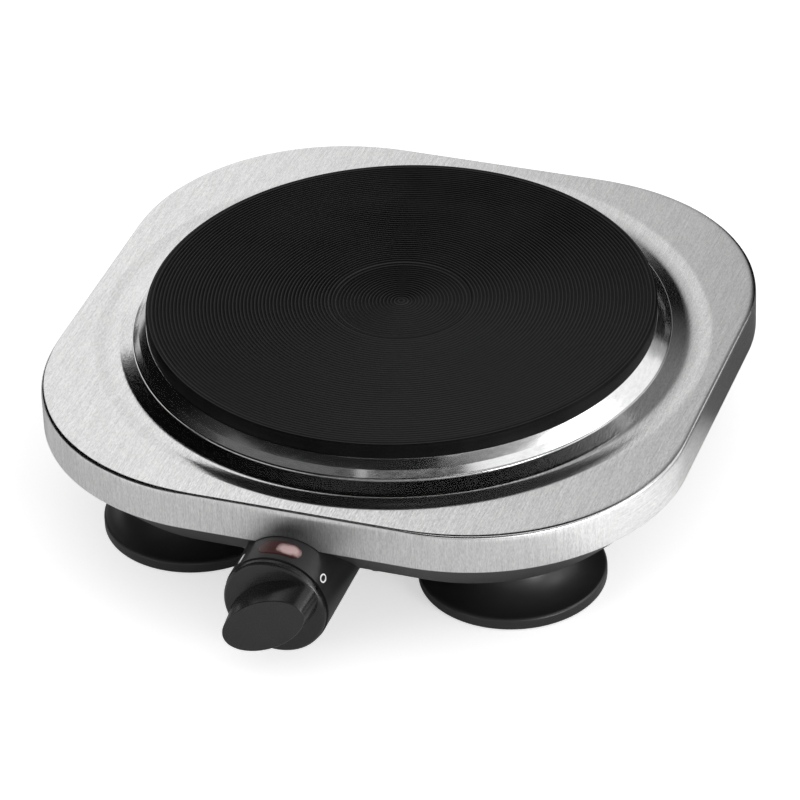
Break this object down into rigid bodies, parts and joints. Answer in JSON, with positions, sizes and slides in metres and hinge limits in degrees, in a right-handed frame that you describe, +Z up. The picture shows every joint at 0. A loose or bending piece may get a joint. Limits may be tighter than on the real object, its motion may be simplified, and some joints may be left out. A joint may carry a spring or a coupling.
{
  "type": "hot plate burner",
  "caption": "Single electric hot plate: cast-iron cooking plate in a brushed steel cover on a black base with bell feet, and a round front housing with pilot lens and thermostat knob.",
  "frame": {"origin": "on the ground at the middle of the whole outline, knob included; the cooking plate's axis is 13.45 mm behind it", "axes": "+Z up, +X to the right as the user stands at the knob, -Y towards the user; the knob is at the -Y side"},
  "size_m": [0.237, 0.264, 0.0685],
  "materials": {
    "cover_steel": "brushed stainless",
    "bracket_steel": "zinc plated",
    "plate_iron": "matt black, machined grooves",
    "ring_steel": "mirror polished",
    "coil_wire": "drawn resistance wire",
    "magnesia": "pressed mineral powder",
    "plated_steel": "zinc plated",
    "screw_steel": "plated",
    "ceramic": "glazed ceramic",
    "brass": "turned",
    "base_black": "fine satin",
    "control_black": "satin",
    "knob_black": "fine satin",
    "foot_black": "satin",
    "pad_rubber": "matt",
    "lens_red": "tinted, smooth",
    "lamp_glass": "clear",
    "spring_steel": "bright",
    "wire_brown": "sleeve",
    "wire_blue": "sleeve",
    "wire_black": "sleeve",
    "wire_white": "sleeve"
  },
  "bodies": {
    "appliance": {"top_cover": "cover_steel", "cover_brackets": "bracket_steel", "hot_plate": "plate_iron", "spill_ring": "ring_steel", "inner_coil": "coil_wire", "outer_coil": "coil_wire", "inner_filler": "magnesia", "outer_filler": "magnesia", "plate_backing": "plated_steel", "plate_stud": "screw_steel", "clamp_bar": "plated_steel", "heat_shield": "plated_steel", "plate_washer": "plated_steel", "plate_nut": "screw_steel", "terminal_block": "ceramic", "plate_terminals": "brass", "thermal_cutout": "ceramic", "base_pan": "base_black", "cord_gland": "control_black", "mains_block": "ceramic", "mains_screws": "brass", "control_housing": "control_black", "housing_screws": "screw_steel", "pilot_lens": "lens_red", "neon_lamp": "lamp_glass", "lamp_lead": "wire_white", "thermostat_frame": "plated_steel", "thermostat_body": "ceramic", "thermostat_screws": "screw_steel", "contact_leaf": "brass", "bimetal_leaf": "brass", "leaf_post": "ceramic", "live_lead": "wire_brown", "neutral_lead": "wire_blue", "switched_lead": "wire_black", "foot_front_left": "foot_black", "foot_front_right": "foot_black", "foot_rear_left": "foot_black", "foot_rear_right": "foot_black", "pad_front_left": "pad_rubber", "pad_front_right": "pad_rubber", "pad_rear_left": "pad_rubber", "pad_rear_right": "pad_rubber", "foot_screws": "screw_steel"},
    "control_knob": {"knob": "knob_black", "knob_clip": "spring_steel", "spindle": "screw_steel"},
    "thermostat_pin": {"adjust_pin": "ceramic"}
  },
  "joints": [
    {"name": "knob_turn", "type": "hinge", "parent": "appliance", "child": "control_knob", "pos_m": [-0.0025, -0.11755, 0.0252], "axis": [0, 1, 0], "range_deg": [0, 260]},
    {"name": "pin_slide", "type": "slide", "parent": "appliance", "child": "thermostat_pin", "axis": [0, -1, 0], "range_m": [0, 0.001]}
  ],
  "couplings": [
    {"joint": "pin_slide", "follows": "knob_turn", "m_per_rad": 0.00022}
  ]
}
